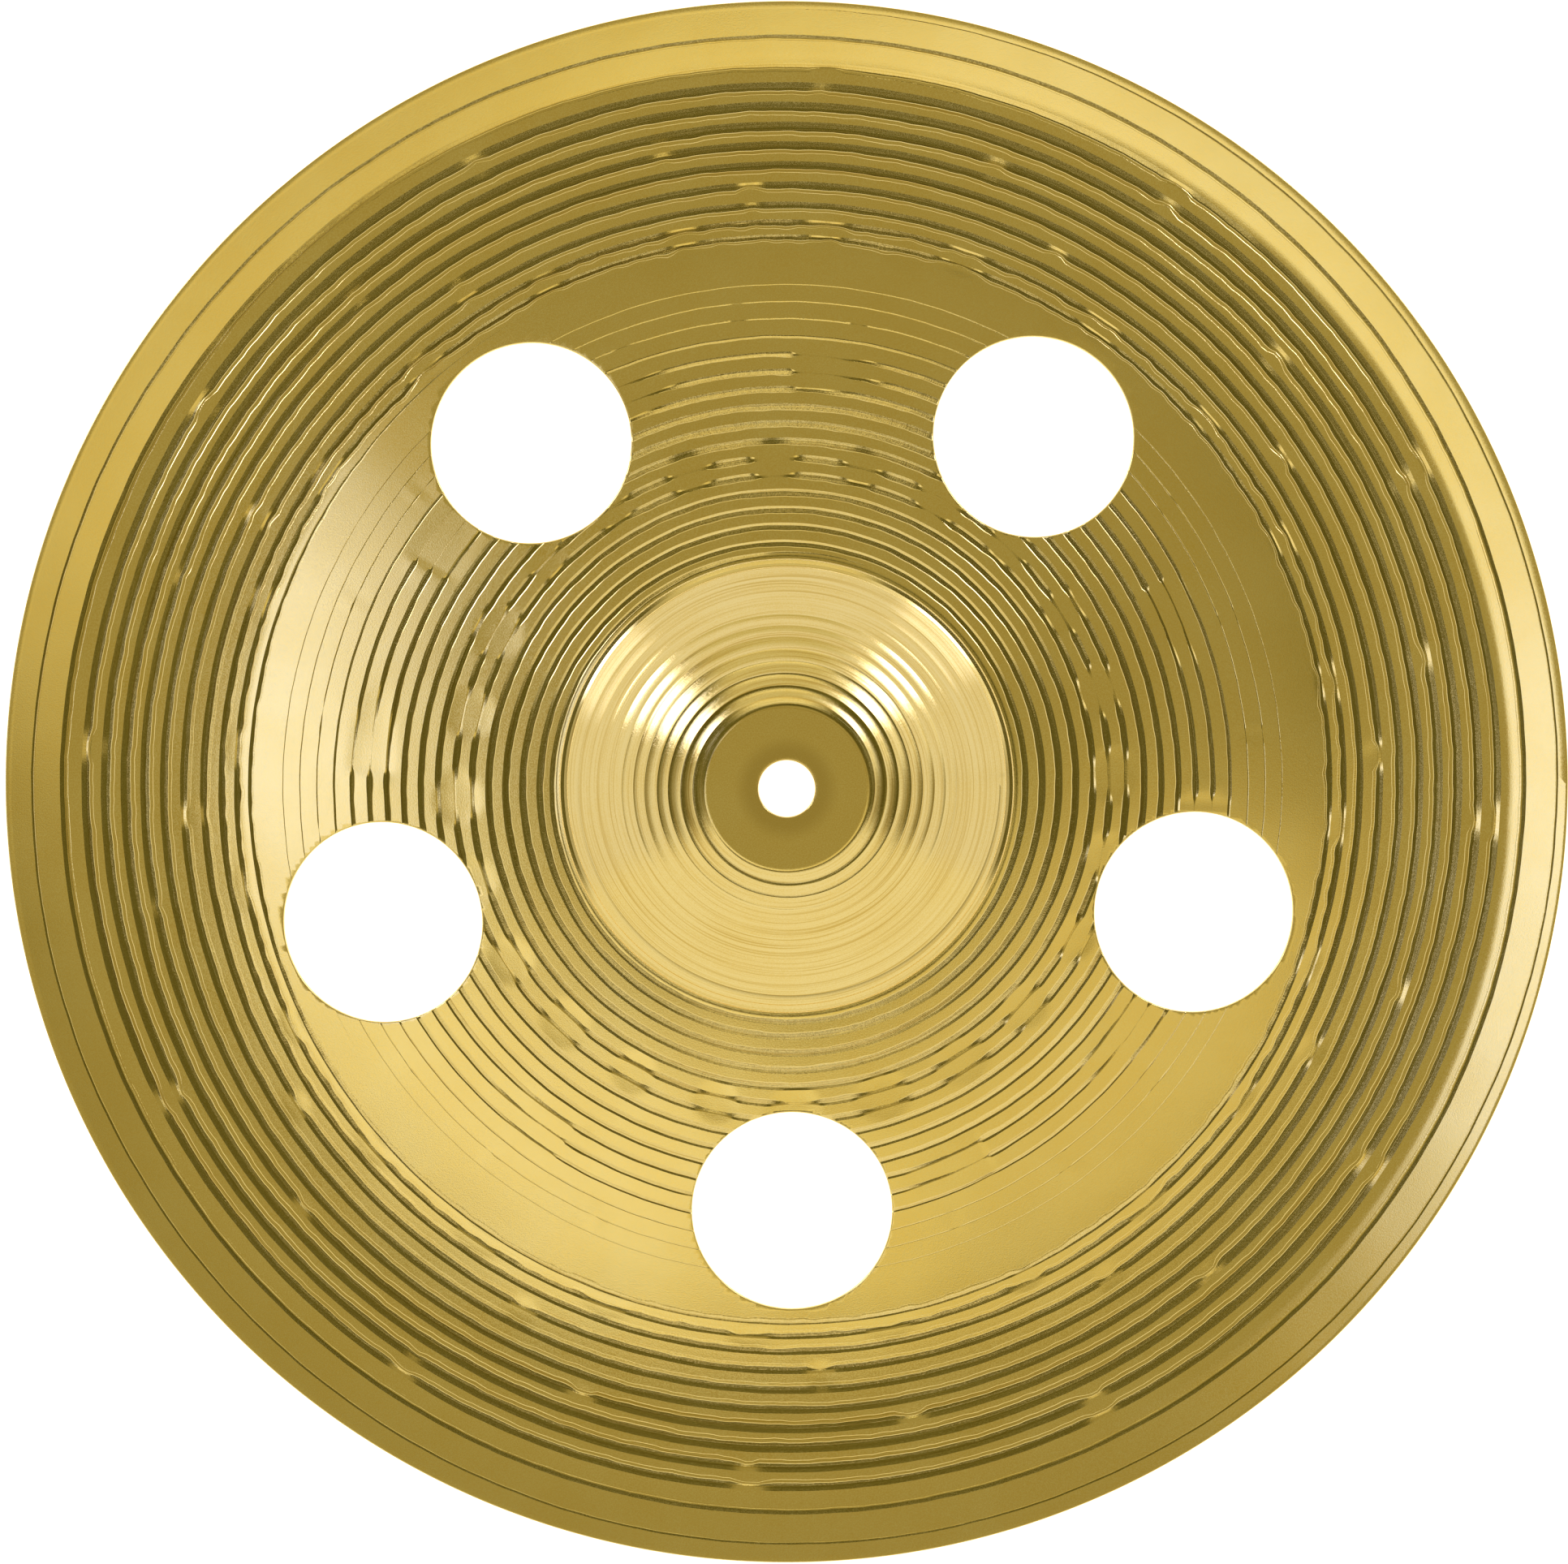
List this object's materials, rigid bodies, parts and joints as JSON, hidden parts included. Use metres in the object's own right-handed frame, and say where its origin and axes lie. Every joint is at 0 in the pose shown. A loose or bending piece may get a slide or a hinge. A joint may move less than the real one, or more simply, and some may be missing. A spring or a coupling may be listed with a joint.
{
  "type": "crash cymbal",
  "caption": "Trash crash cymbal: a thin round dish of lathed and hammered brass with a bell, large round vents through its bow and an upturned rim.",
  "frame": {"origin": "on the axis of the mounting hole, at the plane that the cymbal rests on", "axes": "+Z along the axis of the mounting hole, out of the top of the bell; -Y towards the centre of one vent"},
  "size_m": [0.3556, 0.3556, 0.0243],
  "materials": {
    "brass": "hammered and lathed sheet brass, polished under clear lacquer: wide lathe grooves on the bow and flange, fine ones on the bell, and a satin sandy grain on the crown, the fold and the rim"
  },
  "bodies": {
    "root": {"cymbal": "brass"}
  },
  "joints": []
}
